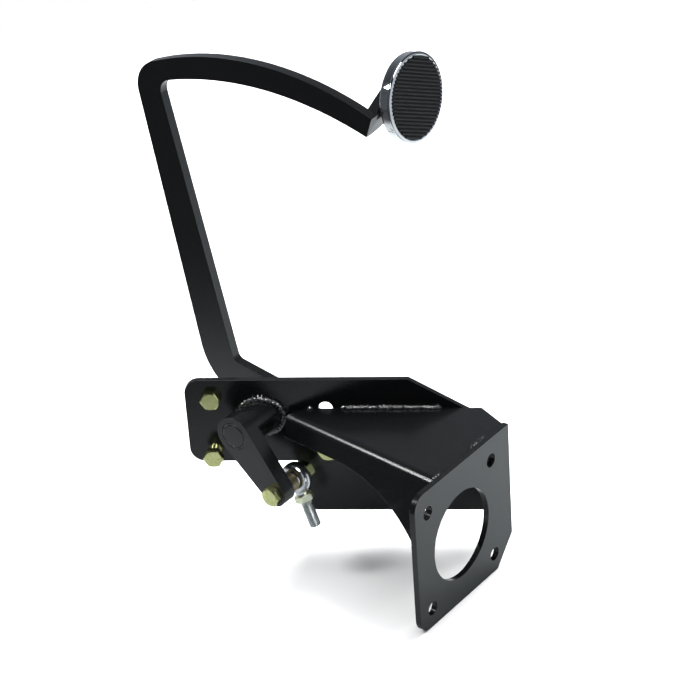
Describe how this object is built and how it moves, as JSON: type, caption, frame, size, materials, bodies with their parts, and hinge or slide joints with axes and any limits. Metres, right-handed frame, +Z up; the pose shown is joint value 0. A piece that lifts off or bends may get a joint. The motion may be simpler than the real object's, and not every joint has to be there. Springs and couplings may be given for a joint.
{
  "type": "brake pedal assembly",
  "caption": "Frame-mounted brake pedal: bent arm with a round ribbed pad turns in a welded bracket and pushes a rod end towards a booster plate.",
  "frame": {"origin": "centre of the booster plate's bore on its outer face", "axes": "+X out of the booster plate towards the booster, +Y along the pedal's pivot towards the arm, +Z up"},
  "size_m": [0.293, 0.1488, 0.4215],
  "materials": {
    "black_coat": "satin black powder coat",
    "bronze": "plain sintered bronze",
    "yellow_zinc": "yellow zinc plating",
    "bright_steel": "bright zinc plating",
    "chrome": "polished chrome",
    "rubber": "matt black rubber"
  },
  "bodies": {
    "bracket": {"booster_plate": "black_coat", "frame_plate": "black_coat", "shelf_gusset": "black_coat", "pivot_tube": "black_coat", "front_bush": "bronze", "rear_bush": "bronze", "frame_bolt_upper": "yellow_zinc", "frame_bolt_lower": "yellow_zinc", "frame_bolt_right": "yellow_zinc", "frame_nut_upper": "yellow_zinc", "frame_nut_lower": "yellow_zinc", "frame_nut_right": "yellow_zinc"},
    "pedal": {"pivot_shaft": "black_coat", "pushrod_lever": "black_coat", "pedal_arm": "black_coat", "pad_lug": "black_coat", "pad_shell": "chrome", "pad_rubber": "rubber", "pad_stud": "bright_steel", "lever_bolt": "yellow_zinc", "lever_spacer": "yellow_zinc", "rod_ball": "bright_steel", "lever_nut": "yellow_zinc"},
    "rod_end": {"rod_end": "chrome", "jam_nut": "yellow_zinc"}
  },
  "joints": [
    {"name": "pedal_pivot", "type": "hinge", "parent": "bracket", "child": "pedal", "pos_m": [-0.18, 0, 0.056], "axis": [0, -1, 0], "range_deg": [0, 20]},
    {"name": "rod_end_swivel", "type": "hinge", "parent": "pedal", "child": "rod_end", "pos_m": [-0.1446, -0.01595, 0.0138], "axis": [0, -1, 0], "range_deg": [-67, 63]}
  ]
}
